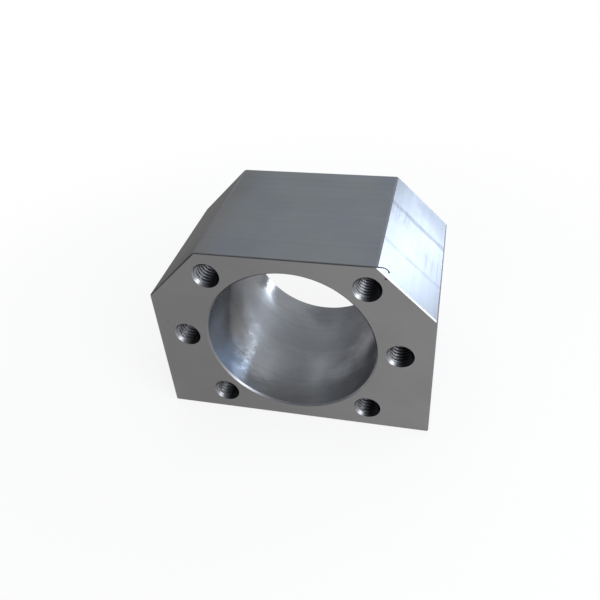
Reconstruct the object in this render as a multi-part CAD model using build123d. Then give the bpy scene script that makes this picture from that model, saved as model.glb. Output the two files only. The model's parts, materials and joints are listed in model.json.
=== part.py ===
from build123d import *
import math
import os

# Ball screw nut housing, milled from one block of aluminium.
# Millimetres. The origin is the centre of the base, +Z is up, and the bore runs along Y.
# The screw nut goes in from the front (-Y), where its flange is screwed to the front face.

# Round body of the nut, the gap all round it in its bore, and the bore's lead-in
nut_body_diameter = 40.0
nut_body_gap = 0.1
bore_lead_in = 0.4

# Block round the nut's body, and its length along it
depth_under_body = 4.0
height_over_body = 4.0
width_beside_body = 13.0
housing_length = 40.0

# Outside of the block: the two sloping top corners, and the broken sharp edges
corner_cut = 13.0
edge_break = 0.3

# Threaded holes: coarse metric thread, drilled to the tapping size and countersunk
thread_diameter = 6.0
thread_pitch = 1.0
countersink_rim = 0.25
countersink_angle = 90.0
drill_point_angle = 118.0

# Screw holes for the nut's flange: on a circle outside its body, a group at each side of it
flange_screw_from_body = 5.5
flange_hole_step = 45.0
flange_holes_per_side = 3
flange_hole_depth = 18.0

# Screw holes in the base, in from the sides and from the two end faces
base_hole_from_side = 7.0
base_hole_from_end = 8.0
base_hole_depth = 14.0

# How far a cutting body stands out of the face that it cuts
cutter_overrun = 1.0

# Worked out from the sizes above
body_radius = nut_body_diameter / 2
bore_radius = body_radius + nut_body_gap
bore_height = depth_under_body + body_radius
housing_width = 2 * (body_radius + width_beside_body)
housing_height = bore_height + body_radius + height_over_body
front_face = -housing_length / 2
flange_circle_radius = body_radius + flange_screw_from_body
tapping_radius = (thread_diameter - thread_pitch) / 2
countersink_radius = thread_diameter / 2 + countersink_rim
base_pitch_across = housing_width - 2 * base_hole_from_side
base_pitch_along = housing_length - 2 * base_hole_from_end


def block():
    """The block: its end view with both top corners cut, drawn out along the bore."""
    end_view = Rectangle(housing_width, housing_height, align=(Align.CENTER, Align.MIN))
    top_corners = end_view.vertices().group_by(Axis.Y)[-1]
    end_view = chamfer(top_corners, corner_cut)
    solid = extrude(Plane.XZ * end_view, housing_length / 2, both=True)
    return chamfer(solid.edges(), edge_break)


def turned(half_section):
    """A round body about Z, from points of radius and height."""
    return revolve(Plane.XZ * make_face(Polyline(*half_section, close=True)), Axis.Z)


def bore():
    """The bore with a 45 degree lead-in at each end, centred on its own length."""
    end = housing_length / 2
    wide = bore_radius + bore_lead_in + cutter_overrun
    half_section = [
        (0, -end - cutter_overrun),
        (wide, -end - cutter_overrun),
        (bore_radius, -end + bore_lead_in),
        (bore_radius, end - bore_lead_in),
        (wide, end + cutter_overrun),
        (0, end + cutter_overrun),
    ]
    return turned(half_section)


def tapped_hole(depth):
    """A blind hole at tapping size: countersunk at Z = 0, full width to depth, then its drill point."""
    rim_slope = math.tan(math.radians(countersink_angle / 2))
    sink_depth = (countersink_radius - tapping_radius) / rim_slope
    point_length = tapping_radius / math.tan(math.radians(drill_point_angle / 2))
    half_section = [
        (0, cutter_overrun),
        (countersink_radius + cutter_overrun * rim_slope, cutter_overrun),
        (tapping_radius, -sink_depth),
        (tapping_radius, -depth),
        (0, -depth - point_length),
    ]
    return turned(half_section)


def flange_holes():
    """The holes in the front face, a group centred on each side of the bore."""
    face = Plane(origin=(0, front_face, bore_height), x_dir=(1, 0, 0), z_dir=(0, -1, 0))
    hole = tapped_hole(flange_hole_depth)
    half_spread = flange_hole_step * (flange_holes_per_side - 1) / 2
    holes = []
    for side in (0, 180):
        for index in range(flange_holes_per_side):
            angle = math.radians(side - half_spread + index * flange_hole_step)
            across = flange_circle_radius * math.cos(angle)
            up = flange_circle_radius * math.sin(angle)
            holes.append(face * Pos(across, up) * hole)
    return holes


def base_holes():
    """The four holes in the base."""
    face = Plane(origin=(0, 0, 0), x_dir=(1, 0, 0), z_dir=(0, 0, -1))
    hole = tapped_hole(base_hole_depth)
    return [face * place * hole for place in GridLocations(base_pitch_across, base_pitch_along, 2, 2)]


def nut_housing():
    """The finished housing, one solid."""
    lying_bore = Plane(origin=(0, 0, bore_height), x_dir=(1, 0, 0), z_dir=(0, -1, 0)) * bore()
    return block() - lying_bore - flange_holes() - base_holes()


housing = nut_housing()
housing.label = "nut_housing"
os.makedirs("parts", exist_ok=True)
export_step(housing, "parts/nut_housing.step")
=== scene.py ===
# Ball screw nut housing: one machined block of aluminium, standing on its base.
# Metres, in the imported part's frame: the origin is the centre of the base, +Z is up,
# the bore runs along Y, and the face that the nut's flange is screwed to is at -Y.

import json
import math

import bmesh
import bpy
from mathutils import Matrix, Vector


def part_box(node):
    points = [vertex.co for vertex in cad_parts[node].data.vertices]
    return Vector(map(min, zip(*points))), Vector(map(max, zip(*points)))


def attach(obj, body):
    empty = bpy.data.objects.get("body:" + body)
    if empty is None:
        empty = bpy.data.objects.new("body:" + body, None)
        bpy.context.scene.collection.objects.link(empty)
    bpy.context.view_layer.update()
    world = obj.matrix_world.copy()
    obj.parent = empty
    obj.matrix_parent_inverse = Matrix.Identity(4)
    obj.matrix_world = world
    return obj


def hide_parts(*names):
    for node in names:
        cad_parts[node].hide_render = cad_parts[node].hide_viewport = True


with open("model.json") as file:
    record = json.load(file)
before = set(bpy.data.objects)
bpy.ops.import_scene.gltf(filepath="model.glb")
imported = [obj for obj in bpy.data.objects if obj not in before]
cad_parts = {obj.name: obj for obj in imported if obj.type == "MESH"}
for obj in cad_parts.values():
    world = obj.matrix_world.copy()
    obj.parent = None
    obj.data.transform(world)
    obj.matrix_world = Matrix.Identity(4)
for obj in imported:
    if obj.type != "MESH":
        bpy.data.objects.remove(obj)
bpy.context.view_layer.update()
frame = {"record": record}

MM = 0.001
MICRON = 0.000001
FRONT = Vector((0, -1, 0))
BACK = Vector((0, 1, 0))
DOWN = Vector((0, 0, -1))

# Block, its bore and its tapping size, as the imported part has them
low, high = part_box("nut_housing")
mounts = {mount["name"]: mount for mount in frame["record"]["mounts"]}
bore_centre = Vector(mounts["nut_bore"]["pos_m"])
bore_radius = mounts["nut_bore"]["dims"]["r_mm"] * MM
bore_lead_in = (high.y - low.y - mounts["nut_bore"]["dims"]["length_mm"] * MM) / 2
tapping_radius = mounts["base_screws"]["dims"]["hole_r_mm"] * MM
corner_cut = 13.0 * MM
edge_break = 0.3 * MM

# Threads: M6 coarse, countersunk at the mouth, with the drill's point at the bottom
thread_radius = 3.0 * MM
thread_pitch = 1.0 * MM
countersink_radius = 3.25 * MM
drill_point_angle = 118.0
drill_point_depth = tapping_radius / math.tan(math.radians(drill_point_angle / 2))
flange_thread_depth = 15.0 * MM
flange_drill_depth = 18.0 * MM
base_thread_depth = 11.0 * MM
base_drill_depth = 14.0 * MM

# Shape of the thread's groove, in pitches: its middle, half its width and the width of a flank
groove_middle = 0.625
groove_half_width = 0.375
flank_width = 0.3125

# Pitches over which the thread deepens at its mouth and fades at its end, and the turn it starts at
run_in_pitches = 0.15
run_out_pitches = 2.0
start_turn = 0.5

# Fineness of the round surfaces
bore_segments = 192
hole_segments = 48
dent_segments = 16
rows_per_pitch = 8
merge_distance = 0.001 * MM
sharp_edge_angle = math.radians(15)

# How far a face's normal has to lie along a direction, to look mostly or squarely that way
mostly = 0.9
squarely = 0.999

# Small dents in the flange face: across, up, radius and depth
dents = (
    (21.9 * MM, 45.2 * MM, 0.26 * MM, 0.15 * MM),
    (-29.9 * MM, 27.4 * MM, 0.15 * MM, 0.06 * MM),
)

# Burr along the front top edge, from the left side to the right sloping cut
burr_line = (
    Vector((-32.7, -19.88, 35.1)) * MM,
    Vector((-20.15, -19.88, 47.82)) * MM,
    Vector((19.5, -19.88, 47.84)) * MM,
)
burr_line_steps = 18
burr_line_thickness = 0.20 * MM
burr_unevenness = 0.25
burr_wave_per_step = 2.6

# Curl at the burr's right end: places and the thickness at each
burr_curl = (
    (Vector((19.7, -19.7, 47.80)) * MM, 0.25 * MM),
    (Vector((20.5, -19.7, 47.80)) * MM, 0.26 * MM),
    (Vector((21.3, -19.7, 47.80)) * MM, 0.25 * MM),
    (Vector((21.9, -19.6, 47.5)) * MM, 0.22 * MM),
    (Vector((22.4, -19.5, 46.9)) * MM, 0.28 * MM),
    (Vector((22.5, -19.5, 46.5)) * MM, 0.40 * MM),
)

# Finishes, in the order of the housing's material slots
FINISHES = ("end_face", "outer_face", "sloping_cut", "bore_wall", "tapped_hole", "broken_edge")

# Colour sockets of the Mix node
MIX_FIRST, MIX_SECOND, MIX_RESULT = 6, 7, 2

# Mesh layer that says how far across its hole a corner lies, which the holes' finish reads to paint
# shade towards each hole's right
PLACE_ACROSS_HOLE_LAYER = "place_across_hole"


class Tree:
    """Adds nodes to a node tree. An input is a value or another node's output socket."""

    def __init__(self, tree):
        self.tree = tree

    def add(self, kind, inputs=None, **settings):
        node = self.tree.nodes.new(kind)
        for name, value in settings.items():
            setattr(node, name, value)
        for key, value in (inputs or {}).items():
            self.feed(node.inputs[key], value)
        return node

    def feed(self, socket, value):
        if isinstance(value, bpy.types.NodeSocket):
            self.tree.links.new(value, socket)
        else:
            socket.default_value = value

    def math(self, operation, *values, clamp=False):
        inputs = dict(enumerate(values))
        node = self.add("ShaderNodeMath", inputs, operation=operation, use_clamp=clamp)
        return node.outputs[0]

    def chain(self, operation, first, *others):
        """One operation on two or more values, from left to right."""
        for other in others:
            first = self.math(operation, first, other)
        return first

    def total(self, *values):
        return self.chain("ADD", *values)

    def difference(self, first, second):
        return self.math("SUBTRACT", first, second)

    def product(self, *values):
        return self.chain("MULTIPLY", *values)

    def highest(self, *values):
        return self.chain("MAXIMUM", *values)

    def vector(self, operation, *values):
        inputs = dict(enumerate(values))
        return self.add("ShaderNodeVectorMath", inputs, operation=operation).outputs["Vector"]

    def scaled(self, vector, factor):
        inputs = {"Vector": vector, "Scale": factor}
        return self.add("ShaderNodeVectorMath", inputs, operation="SCALE").outputs["Vector"]

    def in_steps(self, vector, size):
        """The vector counted in steps of this size."""
        return self.scaled(vector, self.math("DIVIDE", 1.0, size))

    def length(self, vector):
        inputs = {0: vector}
        return self.add("ShaderNodeVectorMath", inputs, operation="LENGTH").outputs["Value"]

    def towards(self, vector, way):
        """How far a direction points the given way, from -1 to 1."""
        inputs = {0: vector, 1: way.normalized()}
        return self.add("ShaderNodeVectorMath", inputs, operation="DOT_PRODUCT").outputs["Value"]

    def parts(self, vector):
        return self.add("ShaderNodeSeparateXYZ", {0: vector}).outputs

    def soft_step(self, value, start, end, start_value=0.0, end_value=1.0):
        inputs = {
            "Value": value,
            "From Min": start,
            "From Max": end,
            "To Min": start_value,
            "To Max": end_value,
        }
        node = self.add("ShaderNodeMapRange", inputs, interpolation_type="SMOOTHSTEP")
        return node.outputs["Result"]

    def mix(self, factor, first, second):
        inputs = {"Factor": factor, MIX_FIRST: first, MIX_SECOND: second}
        return self.add("ShaderNodeMix", inputs, data_type="RGBA").outputs[MIX_RESULT]

    def noise(self, vector, scale=1.0, detail=2.0, roughness=0.5):
        """Soft noise from 0 to 1, about 0.5 on average."""
        inputs = {"Vector": vector, "Scale": scale, "Detail": detail, "Roughness": roughness}
        return self.add("ShaderNodeTexNoise", inputs).outputs["Fac"]

    def about_one(self, noise, amount):
        """Turns noise into a factor that swings about 1 by the amount."""
        swing = self.product(amount, 2.0)
        return self.math("MULTIPLY_ADD", self.difference(noise, 0.5), swing, 1.0)


def give_sockets(group, inputs, outputs):
    for name, kind in inputs.items():
        group.interface.new_socket(name, in_out="INPUT", socket_type="NodeSocket" + kind)
    for name, kind in outputs.items():
        group.interface.new_socket(name, in_out="OUTPUT", socket_type="NodeSocket" + kind)


def new_object(name, data):
    """A new object in the scene."""
    piece = bpy.data.objects.new(name, data)
    bpy.context.scene.collection.objects.link(piece)
    return piece


def plain_mesh(carrier):
    """The finished shape of an object as a plain mesh. The object is removed."""
    depsgraph = bpy.context.evaluated_depsgraph_get()
    mesh = bpy.data.meshes.new_from_object(carrier.evaluated_get(depsgraph))
    carrier.modifiers.clear()
    bpy.data.objects.remove(carrier)
    return mesh


# Geometry Nodes: the threaded holes

def tapped_hole_tree():
    """Puts a threaded blind hole under each point: columns and rows wound round the hole's axis.
    The rows climb by one pitch in a turn, so that the last column meets the first a pitch on.
    The wall's rows are followed by one at the drill's full depth and one at its point."""
    group = bpy.data.node_groups.new("tapped_holes", "GeometryNodeTree")
    radii = ("Mouth Radius", "Thread Radius", "Drill Radius")
    depths = ("Pitch", "Thread Depth", "Drill Depth", "Point Depth")
    inputs = {"Geometry": "Geometry", "Outward": "Vector"}
    inputs.update(dict.fromkeys(radii + depths, "Float"))
    inputs.update({"Columns": "Int", "Rows per Pitch": "Int", "Material": "Material"})
    give_sockets(group, inputs, {"Geometry": "Geometry"})
    tree = Tree(group)
    given = tree.add("NodeGroupInput").outputs
    drill, depth, pitch = given["Drill Radius"], given["Thread Depth"], given["Pitch"]

    turns = tree.math("DIVIDE", depth, pitch)
    wall_rows = tree.math("ROUND", tree.product(given["Rows per Pitch"], tree.total(turns, 1.0)))
    rows = tree.total(wall_rows, 2.0)
    columns = given["Columns"]
    sheet = tree.add("GeometryNodeMeshGrid", {
        "Size X": columns,
        "Size Y": rows,
        "Vertices X": tree.total(columns, 1.0),
        "Vertices Y": tree.total(rows, 1.0),
    })
    place = tree.parts(tree.add("GeometryNodeInputPosition").outputs[0])
    column = tree.math("ROUND", tree.total(place["X"], tree.math("DIVIDE", columns, 2.0)))
    row = tree.math("ROUND", tree.total(place["Y"], tree.math("DIVIDE", rows, 2.0)))

    part_turn = tree.math("DIVIDE", column, columns)
    row_in_pitches = tree.math("DIVIDE", row, given["Rows per Pitch"])
    climb = tree.difference(tree.total(row_in_pitches, part_turn), 1.0)
    wall_depth = tree.math("MINIMUM", tree.highest(tree.product(climb, pitch), 0.0), depth)

    off_middle = tree.difference(tree.math("FRACT", row_in_pitches), groove_middle)
    left_of_groove = tree.difference(groove_half_width, tree.math("ABSOLUTE", off_middle))
    groove = tree.math("DIVIDE", left_of_groove, flank_width, clamp=True)
    left_to_end = tree.difference(depth, wall_depth)
    run_out = tree.math("DIVIDE", left_to_end, tree.product(pitch, run_out_pitches), clamp=True)
    sink_depth = tree.difference(given["Mouth Radius"], given["Thread Radius"])
    under_sink = tree.difference(wall_depth, sink_depth)
    run_in = tree.math("DIVIDE", under_sink, tree.product(pitch, run_in_pitches), clamp=True)
    thread_height = tree.difference(given["Thread Radius"], drill)
    threaded = tree.total(drill, tree.product(thread_height, groove, run_in, run_out))
    countersunk = tree.difference(given["Mouth Radius"], wall_depth)
    wall_radius = tree.highest(threaded, countersunk)

    under_wall = tree.math("GREATER_THAN", row, tree.total(wall_rows, 0.5))
    at_point = tree.math("GREATER_THAN", row, tree.total(wall_rows, 1.5))
    to_drill_depth = tree.product(under_wall, tree.difference(given["Drill Depth"], wall_depth))
    down = tree.total(wall_depth, to_drill_depth, tree.product(at_point, given["Point Depth"]))
    to_drill_radius = tree.product(under_wall, tree.difference(drill, wall_radius))
    to_point = tree.product(at_point, drill)
    radius = tree.difference(tree.total(wall_radius, to_drill_radius), to_point)

    angle = tree.product(tree.total(part_turn, start_turn), 2 * math.pi)
    wound = tree.add("ShaderNodeCombineXYZ", {
        "X": tree.product(radius, tree.math("COSINE", angle)),
        "Y": tree.product(radius, tree.math("SINE", angle)),
        "Z": tree.product(down, -1.0),
    })
    hole = tree.add("GeometryNodeSetPosition", {
        "Geometry": sheet.outputs["Mesh"],
        "Position": wound.outputs[0],
    })
    closed = tree.add("GeometryNodeMergeByDistance", {
        "Geometry": hole.outputs[0],
        "Distance": merge_distance,
    })
    outward = {"Vector": given["Outward"]}
    facing = tree.add("FunctionNodeAlignRotationToVector", outward, axis="Z", pivot_axis="X")
    holes = tree.add("GeometryNodeInstanceOnPoints", {
        "Points": given["Geometry"],
        "Instance": closed.outputs[0],
        "Rotation": facing.outputs[0],
    })
    real = tree.add("GeometryNodeRealizeInstances", {"Geometry": holes.outputs[0]})
    finished = tree.add("GeometryNodeSetMaterial", {
        "Geometry": real.outputs[0],
        "Material": given["Material"],
    })
    tree.add("NodeGroupOutput", {0: finished.outputs[0]})
    return group


def tapped_holes(group, centres, outward, thread_depth, drill_depth, material):
    """A plain mesh of the threaded holes at these centres."""
    points = bpy.data.meshes.new("hole_centres")
    points.from_pydata(centres, [], [])
    carrier = new_object("hole_centres", points)
    modifier = carrier.modifiers.new("tapped_holes", "NODES")
    modifier.node_group = group
    values = {
        "Outward": outward,
        "Mouth Radius": countersink_radius,
        "Thread Radius": thread_radius,
        "Drill Radius": tapping_radius,
        "Pitch": thread_pitch,
        "Thread Depth": thread_depth,
        "Drill Depth": drill_depth,
        "Point Depth": drill_point_depth,
        "Columns": hole_segments,
        "Rows per Pitch": rows_per_pitch,
        "Material": material,
    }
    for socket in group.interface.items_tree:
        if socket.in_out == "INPUT" and socket.name in values:
            modifier[socket.identifier] = values[socket.name]
    return plain_mesh(carrier)


def pattern(name, face_middle):
    """Hole centres of a screw pattern on its face: a rectangle, or a pair on a level line."""
    dims = mounts[name]["dims"]
    across = dims["spacing_x_mm"] * MM / 2
    along = dims.get("spacing_y_mm", 0.0) * MM / 2
    second_axis = Vector((0, 1, 0)) if mounts[name]["axis"][2] else Vector((0, 0, 1))
    rows = (-along, along) if along else (0.0,)
    centres = []
    for y in rows:
        for x in (-across, across):
            centres.append(face_middle + Vector((x, 0, 0)) + second_axis * y)
    return centres


# The block's mesh

def finish_index(name):
    return FINISHES.index(name)


def face_finish(normal):
    """The finish of an outside face, by the way it looks."""
    if abs(normal.y) > mostly:
        return "end_face"
    if max(abs(normal.x), abs(normal.z)) > mostly:
        return "outer_face"
    return "sloping_cut"


def block_outside():
    """The outside of the block with its edges broken, open at the three faces that have holes."""
    outline = (
        (low.x, low.z),
        (high.x, low.z),
        (high.x, high.z - corner_cut),
        (high.x - corner_cut, high.z),
        (low.x + corner_cut, high.z),
        (low.x, high.z - corner_cut),
    )
    block = bmesh.new()
    front = [block.verts.new((x, low.y, z)) for x, z in outline]
    back = [block.verts.new((x, high.y, z)) for x, z in outline]
    block.faces.new(front)
    block.faces.new(back)
    for index in range(len(outline)):
        block.faces.new((front[index], front[index - 1], back[index - 1], back[index]))
    bmesh.ops.recalc_face_normals(block, faces=block.faces[:])
    for face in block.faces:
        face.material_index = finish_index(face_finish(face.normal))
    bmesh.ops.bevel(
        block,
        geom=block.edges[:],
        offset=edge_break,
        offset_type="OFFSET",
        segments=1,
        profile=0.5,
        affect="EDGES",
        material=finish_index("broken_edge"),
    )
    drilled = []
    for face in block.faces:
        if max(face.normal.dot(way) for way in (FRONT, BACK, DOWN)) > squarely:
            drilled.append(face)
    bmesh.ops.delete(block, geom=drilled, context="FACES_ONLY")
    return block


def ring(block, across, up, radius, y, segments):
    """A ring of corners round an axis along Y."""
    corners = []
    for step in range(segments):
        angle = 2 * math.pi * step / segments
        x = across + radius * math.cos(angle)
        z = up + radius * math.sin(angle)
        corners.append(block.verts.new((x, y, z)))
    return corners


def add_bore(block):
    """The bore's wall and its lead-in at each end."""
    wide = bore_radius + bore_lead_in
    profile = (
        (low.y, wide),
        (low.y + bore_lead_in, bore_radius),
        (high.y - bore_lead_in, bore_radius),
        (high.y, wide),
    )
    rings = []
    for y, radius in profile:
        rings.append(ring(block, bore_centre.x, bore_centre.z, radius, y, bore_segments))
    finishes = ("broken_edge", "bore_wall", "broken_edge")
    for near, far, finish in zip(rings, rings[1:], finishes):
        for index in range(bore_segments):
            face = block.faces.new((near[index - 1], near[index], far[index], far[index - 1]))
            face.material_index = finish_index(finish)


def add_dents(block):
    """Small round dents in the flange face, in the holes' finish, whose painted shade makes them as
    dark as the holes.
    """
    for across, up, radius, depth in dents:
        rim = ring(block, across, up, radius, low.y, dent_segments)
        bottom = block.verts.new((across, low.y + depth, up))
        for index in range(dent_segments):
            face = block.faces.new((rim[index - 1], rim[index], bottom))
            # Painted shade: the dents take the holes' finish, painted dark as shade in a hollow.
            face.material_index = finish_index("tapped_hole")


def add_holes(block, mesh, centres):
    """Copies a mesh of tapped holes into the block, and notes how far across its hole each corner
    lies: -1 is at its left side and 1 at its right."""
    first_face, first_corner = len(block.faces), len(block.verts)
    block.from_mesh(mesh)
    block.faces.ensure_lookup_table()
    block.verts.ensure_lookup_table()
    place_across_hole = block.verts.layers.float.get(PLACE_ACROSS_HOLE_LAYER) or block.verts.layers.float.new(PLACE_ACROSS_HOLE_LAYER)
    for face in block.faces[first_face:]:
        face.material_index = finish_index("tapped_hole")
    for corner in block.verts[first_corner:]:
        centre = min(centres, key=lambda place: (corner.co - place).length)
        corner[place_across_hole] = (corner.co.x - centre.x) / tapping_radius


def fill_flat(block, normal, offset, finish):
    """Fills a flat face between its outline and the mouths in it."""
    rim = []
    for edge in block.edges:
        away = max(abs(corner.co.dot(normal) - offset) for corner in edge.verts)
        if edge.is_boundary and away < merge_distance:
            rim.append(edge)
    settings = {"use_beauty": True, "use_dissolve": False, "normal": normal}
    filled = bmesh.ops.triangle_fill(block, edges=rim, **settings)
    for face in filled["geom"]:
        if isinstance(face, bmesh.types.BMFace):
            face.material_index = finish_index(finish)


def housing(materials):
    """The whole block as one closed mesh, with the threads cut in its holes."""
    block = block_outside()
    add_bore(block)
    add_dents(block)
    front_middle = Vector((bore_centre.x, low.y, bore_centre.z))
    base_middle = Vector((0, 0, low.z))
    flange_centres = pattern("flange_screws_diagonal", front_middle)
    flange_centres += pattern("flange_screws_level", front_middle)
    base_centres = pattern("base_screws", base_middle)
    hole_sets = (
        (flange_centres, FRONT, flange_thread_depth, flange_drill_depth),
        (base_centres, DOWN, base_thread_depth, base_drill_depth),
    )
    group = tapped_hole_tree()
    for centres, outward, thread_depth, drill_depth in hole_sets:
        finish = materials["tapped_hole"]
        holes = tapped_holes(group, centres, outward, thread_depth, drill_depth, finish)
        add_holes(block, holes, centres)
    fill_flat(block, FRONT, -low.y, "end_face")
    fill_flat(block, BACK, high.y, "end_face")
    fill_flat(block, DOWN, -low.z, "outer_face")
    bmesh.ops.recalc_face_normals(block, faces=block.faces[:])
    mesh = bpy.data.meshes.new("housing")
    block.to_mesh(mesh)
    block.free()
    mesh.shade_smooth()
    mesh.set_sharp_from_angle(angle=sharp_edge_angle)
    for name in FINISHES:
        mesh.materials.append(materials[name])
    return new_object("housing", mesh)


# The burr's mesh

def burr_along_edge():
    """Places and thicknesses of the burr along the front edge, a little uneven."""
    points = []
    for start, end in zip(burr_line, burr_line[1:]):
        for step in range(burr_line_steps):
            uneven = burr_unevenness * math.sin(burr_wave_per_step * len(points))
            place = start.lerp(end, step / burr_line_steps)
            points.append((place, burr_line_thickness * (1 + uneven)))
    return points


def weld_ends(mesh):
    """Joins the end caps of a bevelled line to its sides, so that the mesh is closed."""
    line = bmesh.new()
    line.from_mesh(mesh)
    bmesh.ops.remove_doubles(line, verts=line.verts[:], dist=merge_distance)
    bmesh.ops.recalc_face_normals(line, faces=line.faces[:])
    line.to_mesh(mesh)
    line.free()


def corner_burr(material):
    """The burr along the front top edge, curled at the corner of the right sloping cut."""
    curve = bpy.data.curves.new("corner_burr", "CURVE")
    curve.dimensions = "3D"
    points = burr_along_edge() + list(burr_curl)
    curve.bevel_depth = MM / 2
    curve.bevel_resolution = 2
    curve.use_fill_caps = True
    line = curve.splines.new("NURBS")
    line.points.add(len(points) - 1)
    for point, (place, thickness) in zip(line.points, points):
        point.co = (*place, 1.0)
        point.radius = thickness / MM
    line.order_u = 3
    line.use_endpoint_u = True
    line.resolution_u = 4
    mesh = plain_mesh(new_object("burr_line", curve))
    weld_ends(mesh)
    mesh.shade_smooth()
    mesh.materials.clear()
    mesh.materials.append(material)
    return new_object("corner_burr", mesh)


# Finishes: groups that the materials share. Lengths in them are millimetres, heights are microns

def shared_group(name, inputs, outputs):
    """A shader node group with its sockets."""
    group = bpy.data.node_groups.new(name, "ShaderNodeTree")
    give_sockets(group, inputs, outputs)
    tree = Tree(group)
    return group, tree, tree.add("NodeGroupInput").outputs, tree.add("NodeGroupOutput").inputs


def cloudy_tone_group():
    """Soft patches that are a little lighter or darker."""
    inputs = {"Vector": "Vector", "Size": "Float", "Amount": "Float"}
    group, tree, given, result = shared_group("cloudy_tone", inputs, {"Tone": "Float"})
    patches = tree.noise(tree.in_steps(given["Vector"], given["Size"]), detail=3.0)
    tree.feed(result["Tone"], tree.about_one(patches, given["Amount"]))
    return group


def cutter_lines_group():
    """Lines left by a cutter. Spacing is the marks' reach along each axis: short across them and
    long along them."""
    inputs = {"Vector": "Vector", "Spacing": "Vector", "Amount": "Float", "Depth": "Float"}
    outputs = {"Tone": "Float", "Height": "Float"}
    group, tree, given, result = shared_group("cutter_lines", inputs, outputs)
    across = tree.vector("DIVIDE", given["Vector"], given["Spacing"])
    fine = tree.noise(across, detail=3.0, roughness=0.6)
    broad = tree.noise(across, scale=0.22, detail=2.0)
    tree.feed(result["Tone"], tree.about_one(broad, given["Amount"]))
    tree.feed(result["Height"], tree.product(fine, given["Depth"]))
    return group


def metal_grain_group():
    """Fine even grain of a cut metal surface."""
    inputs = {"Vector": "Vector", "Size": "Float", "Depth": "Float"}
    outputs = {"Mask": "Float", "Height": "Float"}
    group, tree, given, result = shared_group("metal_grain", inputs, outputs)
    steps = tree.in_steps(given["Vector"], given["Size"])
    grain = tree.noise(steps, detail=4.0, roughness=0.7)
    tree.feed(result["Mask"], grain)
    tree.feed(result["Height"], tree.product(grain, given["Depth"]))
    return group


def streak_group():
    """One soft, uneven streak across the block at a place along the bore."""
    inputs = {"Vector": "Vector", "Position": "Float", "Width": "Float", "Wander": "Float"}
    group, tree, given, result = shared_group("streak", inputs, {"Mask": "Float"})
    bend = tree.difference(tree.noise(given["Vector"], scale=0.12), 0.5)
    along_bore = tree.total(tree.parts(given["Vector"])["Y"], tree.product(bend, given["Wander"]))
    away = tree.math("ABSOLUTE", tree.difference(along_bore, given["Position"]))
    line = tree.soft_step(away, given["Width"], 0.0)
    uneven = tree.noise(given["Vector"], scale=0.35, detail=3.0)
    strength = tree.soft_step(uneven, 0.2, 0.6, start_value=0.3)
    tree.feed(result["Mask"], tree.product(line, strength))
    return group


def dark_specks_group():
    """Scattered tiny dark specks: each cell of the spacing has one or none."""
    inputs = {"Vector": "Vector", "Spacing": "Float", "Radius": "Float"}
    group, tree, given, result = shared_group("dark_specks", inputs, {"Mask": "Float"})
    steps = tree.in_steps(given["Vector"], given["Spacing"])
    cells = tree.add("ShaderNodeTexVoronoi", {"Vector": steps})
    reach = tree.math("DIVIDE", given["Radius"], given["Spacing"])
    dot = tree.soft_step(cells.outputs["Distance"], reach, 0.0)
    chance = tree.add("ShaderNodeSeparateColor", {0: cells.outputs["Color"]}).outputs[0]
    empty_share = 0.6
    tree.feed(result["Mask"], tree.product(dot, tree.math("GREATER_THAN", chance, empty_share)))
    return group


def patch_group():
    """A soft patch with an uneven rim round a place on the block."""
    inputs = {"Vector": "Vector", "Middle": "Vector", "Reach": "Float"}
    group, tree, given, result = shared_group("patch", inputs, {"Mask": "Float"})
    distance = tree.length(tree.vector("SUBTRACT", given["Vector"], given["Middle"]))
    uneven = tree.about_one(tree.noise(given["Vector"], scale=0.2), 0.5)
    mask = tree.soft_step(tree.product(distance, uneven), given["Reach"], 0.0)
    tree.feed(result["Mask"], mask)
    return group


cloudy_tone = cloudy_tone_group()
cutter_lines = cutter_lines_group()
metal_grain = metal_grain_group()
streak = streak_group()
dark_specks = dark_specks_group()
patch = patch_group()


# Finishes: one material for each. Places are millimetres in the part's frame

class Metal(Tree):
    """One finish of the aluminium: its own values in the shared groups, and one metal shader."""

    def __init__(self, name):
        self.material = bpy.data.materials.new(name)
        self.material.use_nodes = True
        super().__init__(self.material.node_tree)
        self.tree.nodes.clear()
        self.place = self.scaled(self.add("ShaderNodeTexCoord").outputs["Object"], 1 / MM)

    def use(self, group, **values):
        """A shared group with its own values, laid out in the part's millimetres."""
        inputs = {"Vector": self.place, **values}
        return self.add("ShaderNodeGroup", inputs, node_tree=group).outputs

    def patch_mask(self, middle, reach):
        return self.use(patch, Middle=middle, Reach=reach)["Mask"]

    def along(self, axis, start, end):
        """A value that changes softly along an axis, between two places that have their values."""
        (start_place, start_value), (end_place, end_value) = start, end
        place = self.parts(self.place)[axis]
        return self.soft_step(place, start_place, end_place, start_value, end_value)

    def inside(self, mask, tone):
        """A factor that is 1 outside the mask, and the tone in it."""
        return self.soft_step(mask, 0.0, 1.0, 1.0, tone)

    def grained(self, grain, least, spread):
        """A roughness that follows the grain, from the least one up."""
        return self.math("MULTIPLY_ADD", grain["Mask"], spread, least)

    def shade(self, colour, tone, roughness, height, edge_tint, metallic=1.0):
        """Height is in microns. The edge tint darkens the metal where it is seen at a low angle."""
        bump = self.add("ShaderNodeBump", {"Strength": 1.0, "Distance": MICRON, "Height": height})
        shader = self.add("ShaderNodeBsdfPrincipled", {
            "Base Color": self.scaled(colour, tone),
            "Metallic": metallic,
            "Roughness": roughness,
            "Specular Tint": (*edge_tint, 1.0),
            "Normal": bump.outputs["Normal"],
        })
        self.add("ShaderNodeOutputMaterial", {"Surface": shader.outputs["BSDF"]})
        return self.material


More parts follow.
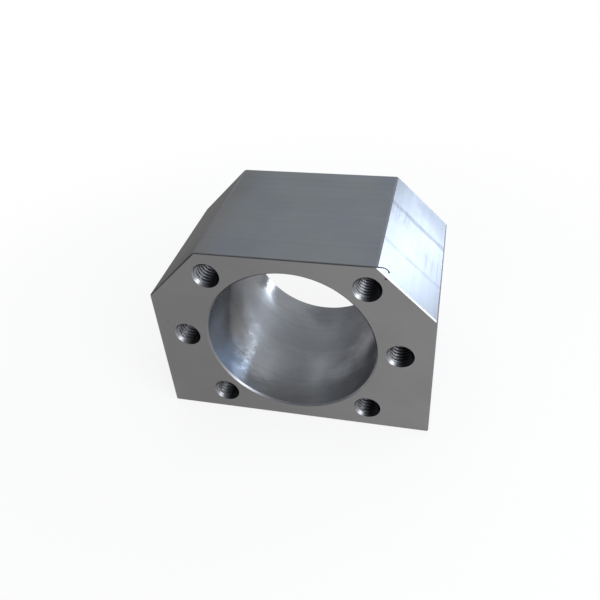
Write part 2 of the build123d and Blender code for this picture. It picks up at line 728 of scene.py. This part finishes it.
def end_face_finish():
    """Flange face and back face: milled, with faint arcs from a large cutter and a few specks, and
    painted light that makes them lighter towards the right and the bottom.
    """
    metal = Metal("end_face")
    cutter_middle = (-40.0, 0.0, -75.0)
    from_cutter = metal.vector("SUBTRACT", metal.place, cutter_middle)
    radius = metal.length(metal.vector("MULTIPLY", from_cutter, (1.0, 0.0, 1.0)))
    arcs = metal.add("ShaderNodeCombineXYZ", {"X": radius}).outputs[0]
    clouds = metal.use(cloudy_tone, Size=16.0, Amount=0.10)
    lines = metal.use(cutter_lines, Vector=arcs, Spacing=(0.35, 1.0, 1.0), Amount=0.03, Depth=0.9)
    grain = metal.use(metal_grain, Size=0.25, Depth=0.8)
    specks = metal.use(dark_specks, Spacing=3.0, Radius=0.09)
    # Painted light: the faces are made lighter towards the right and towards the bottom, as the
    # light falls on them.
    painted_light_right = metal.along("X", (-30.0, 0.96), (30.0, 1.12))
    painted_light_low = metal.along("Z", (2.0, 1.09), (16.0, 1.0))
    speckled = metal.inside(specks["Mask"], tone=0.6)
    return metal.shade(
        colour=(0.208, 0.201, 0.200),
        tone=metal.product(clouds["Tone"], lines["Tone"], painted_light_right, painted_light_low, speckled),
        roughness=metal.grained(grain, least=0.36, spread=0.08),
        height=metal.total(lines["Height"], grain["Height"]),
        edge_tint=(0.6, 0.6, 0.6),
    )


def outer_face_finish():
    """Top, sides and base: milled along the block's width, with faint bands and warmer stains,
    painted shade towards the left, and a blue tint that is painted sky reflection.
    """
    metal = Metal("outer_face")
    clouds = metal.use(cloudy_tone, Size=12.0, Amount=0.12)
    lines = metal.use(cutter_lines, Spacing=(70.0, 0.4, 70.0), Amount=0.07, Depth=1.0)
    grain = metal.use(metal_grain, Size=0.3, Depth=0.8)
    # Painted shade: the top, sides and base are made darker towards the left, as the light falls.
    painted_shade_left = metal.along("X", (-24.0, 0.93), (8.0, 1.02))
    # The bare colour's blue tint is painted reflection of a bluish sky; its grey is the metal's
    # own.
    bare = (0.236, 0.247, 0.268, 1.0)
    stained = (0.242, 0.248, 0.250, 1.0)
    warm = (0.228, 0.222, 0.215, 1.0)
    stains = metal.soft_step(metal.noise(metal.place, scale=0.07, detail=3.0), 0.4, 0.65)
    by_left_cut = metal.along("X", (-20.0, 1.0), (-13.0, 0.0))
    top_left = metal.product(by_left_cut, metal.along("Z", (40.0, 0.0), (46.0, 1.0)))
    return metal.shade(
        colour=metal.mix(top_left, metal.mix(stains, bare, stained), warm),
        tone=metal.product(clouds["Tone"], lines["Tone"], painted_shade_left),
        roughness=metal.grained(grain, least=0.36, spread=0.08),
        height=metal.total(lines["Height"], grain["Height"]),
        edge_tint=(0.5, 0.5, 0.5),
    )


# Scuffed places of the right sloping cut: middle and reach
scuffed_places = (
    ((30.0, -2.0, 38.0), 7.0),
    ((22.5, 6.0, 45.5), 9.0),
)


def sloping_cut_finish():
    """Sloping top corners: fine lines along the bore, two soft streaks across them, scuffs, painted
    shade at the left cut's front and the right cut's back corner, and a blue tint that is painted
    sky reflection.
    """
    metal = Metal("sloping_cut")
    clouds = metal.use(cloudy_tone, Size=9.0, Amount=0.10)
    lines = metal.use(cutter_lines, Spacing=(0.4, 40.0, 0.4), Amount=0.12, Depth=2.0)
    grain = metal.use(metal_grain, Size=0.3, Depth=0.8)

    near_streak = metal.use(streak, Position=-8.4, Width=1.3, Wander=1.0)["Mask"]
    far_streak = metal.use(streak, Position=7.6, Width=1.7, Wander=1.0)["Mask"]
    near_share = 0.6
    streaks = metal.highest(metal.product(near_streak, near_share), far_streak)
    weaker_left = metal.along("X", (-10.0, 0.3), (10.0, 1.0))
    streaked = metal.product(weaker_left, streaks)

    scratches = metal.use(cutter_lines, Spacing=(0.3, 9.0, 0.3), Amount=0.0, Depth=1.0)
    scuffs = metal.total(*(metal.patch_mask(middle, reach) for middle, reach in scuffed_places))
    scuffed = metal.product(metal.soft_step(scratches["Height"], 0.48, 0.62), scuffs)

    # Painted shade: the left cut is darker at its front and the right cut at its back corner, where
    # their reflections are dim.
    front_end = metal.along("Y", (-21.0, 1.0), (-3.0, 0.0))
    left_cut = metal.along("X", (-10.0, 1.0), (10.0, 0.0))
    painted_shade_left_front = metal.product(front_end, left_cut)
    painted_shade_back_corner = metal.patch_mask(middle=(32.0, 18.0, 36.0), reach=15.0)
    shades = (
        metal.inside(streaked, tone=0.78),
        metal.inside(painted_shade_left_front, tone=0.84),
        metal.inside(painted_shade_back_corner, tone=0.72),
        metal.inside(scuffed, tone=0.8),
    )
    least_roughness = metal.soft_step(streaked, 0.0, 1.0, 0.31, 0.33)
    return metal.shade(
        # The colour's blue tint is painted reflection of a bluish sky; its grey is the metal's own.
        colour=(0.285, 0.303, 0.333),
        tone=metal.product(clouds["Tone"], lines["Tone"], *shades),
        roughness=metal.grained(grain, least=least_roughness, spread=0.08),
        height=metal.total(lines["Height"], grain["Height"]),
        edge_tint=(0.31, 0.285, 0.255),
    )


# Painted light and shade on the bore wall, patches that stand in for its reflections: middle, reach
# and brightness
painted_bore_light_and_shade = (
    ((18.5, -5.0, 17.0), 17.0, 2.3),
    ((18.4, -8.5, 15.0), 8.0, 0.46),
    ((4.0, 18.0, 4.0), 14.0, 0.6),
    ((-19.5, -4.0, 20.0), 12.0, 0.6),
    ((0.0, -16.0, 4.0), 15.0, 0.80),
    ((9.9, -9.0, 6.5), 6.0, 1.55),
    ((-15.2, -9.0, 10.8), 5.0, 0.86),
    ((-15.8, -1.5, 11.6), 6.0, 0.66),
    ((-14.8, -17.6, 10.4), 4.5, 1.9),
    ((-16.6, 17.0, 12.6), 7.0, 0.68),
    ((-16.0, 6.5, 12.0), 7.5, 0.66),
)

# Heights of the bore wall's waves and of the tool's chatter at its left, in microns
wave_height = 55.0
chatter_height = 50.0

# Roughness of the bore wall where it is polished, in its dull band and at its right
polished = 0.13
dull_band = 0.40
dull_right = 0.32

# Dull band round the bore: how far back it lies, its wander, and the half widths it fades between
band_place = 10.0
band_wander = 9.0
band_fades = (11.0, 4.0)


def bore_wall_finish():
    """Bore: fine rings from the boring tool, slightly wavy, with painted patches of light and shade
    and a bluish painted sky reflection at its front left.
    """
    metal = Metal("bore_wall")
    clouds = metal.use(cloudy_tone, Size=8.0, Amount=0.15)
    lines = metal.use(cutter_lines, Spacing=(45.0, 0.35, 45.0), Amount=0.12, Depth=1.2)
    grain = metal.use(metal_grain, Size=0.35, Depth=0.6)
    uneven = metal.noise(metal.place, scale=0.22, detail=4.0, roughness=0.6)
    waves = metal.product(uneven, wave_height)
    chattered = metal.patch_mask(middle=(-14.5, -7.5, 10.0), reach=9.0)
    ripple = metal.noise(metal.place, scale=1.0, detail=3.0)
    crinkles = metal.product(ripple, chattered, chatter_height)
    # Painted light and shade: patches made brighter or duller where the bore's reflections are
    # bright or dim.
    shades = []
    for middle, reach, brightness in painted_bore_light_and_shade:
        shades.append(metal.inside(metal.patch_mask(middle, reach), brightness))

    bare = (0.27, 0.27, 0.275, 1.0)
    # Painted reflection: the bore's front left is coloured bluish, as it reflects a blue sky there.
    bluish = (0.41, 0.52, 0.70, 1.0)
    sky_sheen = metal.patch_mask(middle=(-18.5, -20.0, 14.0), reach=12.0)
    thin_sky_sheen = metal.patch_mask(middle=(-19.5, -17.0, 26.0), reach=13.0)
    faint_sheen_share = 0.3
    sky_sheen_mask = metal.highest(sky_sheen, metal.product(thin_sky_sheen, faint_sheen_share))

    wander = metal.product(metal.noise(metal.place, scale=0.15), band_wander)
    along_bore = metal.total(metal.parts(metal.place)["Y"], wander)
    off_band = metal.math("ABSOLUTE", metal.difference(along_bore, band_place))
    band = metal.soft_step(off_band, *band_fades, polished, dull_band)
    right = metal.along("X", (0.0, polished), (14.0, dull_right))
    return metal.shade(
        colour=metal.mix(sky_sheen_mask, bare, bluish),
        tone=metal.product(clouds["Tone"], lines["Tone"], *shades),
        roughness=metal.grained(grain, least=metal.highest(band, right), spread=0.06),
        height=metal.total(lines["Height"], grain["Height"], waves, crinkles),
        edge_tint=(0.3, 0.3, 0.3),
        metallic=0.75,
    )


def tapped_hole_finish():
    """Threads, drilled walls and dents: painted shade makes them dark, most towards each hole's
    right side.
    """
    metal = Metal("tapped_hole")
    grain = metal.use(metal_grain, Size=0.2, Depth=1.0)
    clouds = metal.use(cloudy_tone, Size=1.5, Amount=0.2)
    across_hole = metal.add("ShaderNodeAttribute", attribute_name=PLACE_ACROSS_HOLE_LAYER).outputs["Fac"]
    # Painted shade: each hole is darker towards its right side, where its wall lies in shade.
    painted_shade_in_hole = metal.soft_step(across_hole, -1.0, 0.35, start_value=1.0, end_value=0.055)
    return metal.shade(
        colour=(0.245, 0.247, 0.26),
        tone=metal.product(clouds["Tone"], painted_shade_in_hole),
        roughness=metal.grained(grain, least=0.28, spread=0.1),
        height=grain["Height"],
        edge_tint=(0.3, 0.3, 0.3),
    )


def broken_edge_finish():
    """Broken edges and lead-ins: scraped metal."""
    metal = Metal("broken_edge")
    grain = metal.use(metal_grain, Size=0.3, Depth=2.0)
    clouds = metal.use(cloudy_tone, Size=2.5, Amount=0.2)
    return metal.shade(
        colour=(0.214, 0.218, 0.228),
        tone=clouds["Tone"],
        roughness=metal.grained(grain, least=0.25, spread=0.1),
        height=grain["Height"],
        edge_tint=(0.8, 0.8, 0.8),
    )


def burr_finish():
    """Burr: torn metal, dull, and coloured dark: partly painted shade along the front top edge."""
    metal = Metal("torn_burr")
    grain = metal.use(metal_grain, Size=0.15, Depth=3.0)
    clouds = metal.use(cloudy_tone, Size=0.8, Amount=0.3)
    return metal.shade(
        # Painted shade: the burr's dark colour stands partly for the shade along the front top
        # edge.
        colour=(0.110, 0.102, 0.098),
        tone=clouds["Tone"],
        roughness=metal.grained(grain, least=0.65, spread=0.2),
        height=grain["Height"],
        edge_tint=(0.5, 0.5, 0.5),
    )


# Studio: pale floor, soft light, camera

WHITE = (1.0, 1.0, 1.0, 1.0)
WORLD_COLOUR = (0.94, 1.0, 1.06, 1.0)
DIM_COLOUR = (0.44, 0.46, 0.50, 1.0)

# Sides where the surroundings are dim: the direction, how nearly a ray points there (1 is
# straight) where the dimness starts and where it is full, and how strong it is
DIM_SIDES = {
    "photographer": (Vector((-0.35, -0.65, 0.67)), 0.55, 0.9, 1.0),
    "overhead": (Vector((0.0, 0.0, 1.0)), 0.54, 0.74, 0.8),
    "left": (Vector((-1.0, 0.0, 0.0)), 0.3, 0.8, 1.3),
}

# Floor: its size, and how much of it is plain white to the camera and in reflections
FLOOR_COLOUR = (0.93, 0.92, 0.91, 1.0)
FLOOR_HALF_WIDTH = 4.0
FLOOR_BELOW_BASE = 0.01 * MM
WHITE_SEEN_NEAR = 0.82
WHITE_SEEN_FAR = 1.0
SHADOW_REACH = (60.0 * MM, 180.0 * MM)
WHITE_REFLECTED = 0.5

CAMERA_PLACE = Vector((33.26, -125.92, 123.07)) * MM
CAMERA_AIM = Vector((-2.37, 0.0, 21.57)) * MM
CAMERA_ROLL = math.radians(-4.65)
CAMERA_LENS = 38.23
CAMERA_SENSOR = 36.0


def direction(azimuth, elevation):
    """A direction, from its angle in degrees from the back (+Y) towards the right (+X), and its
    height in degrees above the floor."""
    a, e = math.radians(azimuth), math.radians(elevation)
    return Vector((math.sin(a) * math.cos(e), math.cos(a) * math.cos(e), math.sin(e)))


def softbox(name, azimuth, elevation, distance, size, colour, radiance, in_reflections=True):
    """A rectangular lamp that faces the middle of the block."""
    width, height = size
    data = bpy.data.lights.new(name, "AREA")
    data.shape = "RECTANGLE"
    data.size = width
    data.size_y = height
    data.color = colour
    data.energy = radiance * math.pi * width * height
    lamp = new_object(name, data)
    way = direction(azimuth, elevation)
    turn = way.to_track_quat("Z", "Y").to_matrix().to_4x4()
    lamp.matrix_world = Matrix.Translation(bore_centre + way * distance) @ turn
    lamp.visible_camera = False
    lamp.visible_glossy = in_reflections


def studio_world():
    """Pale light from all round, dimmer overhead, at the left and behind the photographer."""
    world = bpy.data.worlds.new("studio")
    world.use_nodes = True
    world.node_tree.nodes.clear()
    tree = Tree(world.node_tree)
    ray = tree.add("ShaderNodeTexCoord").outputs["Generated"]
    dimness = []
    for side, start, full, strength in DIM_SIDES.values():
        dimness.append(tree.soft_step(tree.towards(ray, side), start, full, 0.0, strength))
    light = tree.mix(tree.highest(*dimness), WORLD_COLOUR, DIM_COLOUR)
    seen = tree.add("ShaderNodeLightPath").outputs["Is Camera Ray"]
    background = tree.add("ShaderNodeBackground", {"Color": tree.mix(seen, light, WHITE)})
    tree.add("ShaderNodeOutputWorld", {"Surface": background.outputs["Background"]})
    bpy.context.scene.world = world


def floor():
    """Plain pale floor: white to the camera and in reflections, with a soft shadow kept."""
    half = FLOOR_HALF_WIDTH
    z = low.z - FLOOR_BELOW_BASE
    mesh = bpy.data.meshes.new("floor")
    corners = [(-half, -half, z), (half, -half, z), (half, half, z), (-half, half, z)]
    mesh.from_pydata(corners, [], [(0, 1, 2, 3)])
    material = bpy.data.materials.new("floor")
    material.use_nodes = True
    material.node_tree.nodes.clear()
    tree = Tree(material.node_tree)
    rays = tree.add("ShaderNodeLightPath").outputs
    reflected = tree.highest(rays["Is Glossy Ray"], rays["Is Transmission Ray"])
    away = tree.length(tree.add("ShaderNodeTexCoord").outputs["Object"])
    white_seen = tree.soft_step(away, *SHADOW_REACH, WHITE_SEEN_NEAR, WHITE_SEEN_FAR)
    seen_share = tree.product(rays["Is Camera Ray"], white_seen)
    share = tree.total(seen_share, tree.product(reflected, WHITE_REFLECTED))
    lit = tree.add("ShaderNodeBsdfDiffuse", {"Color": FLOOR_COLOUR})
    white = tree.add("ShaderNodeEmission", {"Color": WHITE, "Strength": 1.0})
    mixed = tree.add("ShaderNodeMixShader", {
        0: share,
        1: lit.outputs["BSDF"],
        2: white.outputs["Emission"],
    })
    tree.add("ShaderNodeOutputMaterial", {"Surface": mixed.outputs["Shader"]})
    mesh.materials.append(material)
    piece = new_object("floor", mesh)


def camera():
    data = bpy.data.cameras.new("camera")
    data.lens = CAMERA_LENS
    data.sensor_width = CAMERA_SENSOR
    data.clip_start = MM
    piece = new_object("camera", data)
    turn = (CAMERA_AIM - CAMERA_PLACE).to_track_quat("-Z", "Y").to_matrix().to_4x4()
    roll = Matrix.Rotation(CAMERA_ROLL, 4, "Z")
    piece.matrix_world = Matrix.Translation(CAMERA_PLACE) @ turn @ roll
    bpy.context.scene.camera = piece


bpy.context.scene.view_settings.view_transform = "Standard"
camera()
studio_world()
floor()
softbox(
    "slope_light",
    azimuth=35.2,
    elevation=4.2,
    distance=1.20,
    size=(0.18, 0.12),
    colour=(0.77, 0.86, 1.0),
    radiance=31.0,
)
softbox(
    "bore_light",
    azimuth=44.0,
    elevation=14.5,
    distance=0.60,
    size=(0.06, 0.06),
    colour=(0.75, 0.88, 1.0),
    radiance=3.0,
)
softbox(
    "window_light",
    azimuth=128.0,
    elevation=20.0,
    distance=0.45,
    size=(0.34, 0.18),
    colour=(0.95, 0.98, 1.0),
    radiance=6.0,
)
softbox(
    "overhead_light",
    azimuth=0.0,
    elevation=90.0,
    distance=0.80,
    size=(0.80, 0.80),
    colour=(1.0, 0.99, 0.97),
    radiance=0.6,
    in_reflections=False,
)

materials = {
    "end_face": end_face_finish(),
    "outer_face": outer_face_finish(),
    "sloping_cut": sloping_cut_finish(),
    "bore_wall": bore_wall_finish(),
    "tapped_hole": tapped_hole_finish(),
    "broken_edge": broken_edge_finish(),
}

block = housing(materials)
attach(block, "root")
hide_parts("nut_housing")

burr = corner_burr(burr_finish())
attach(burr, "root")
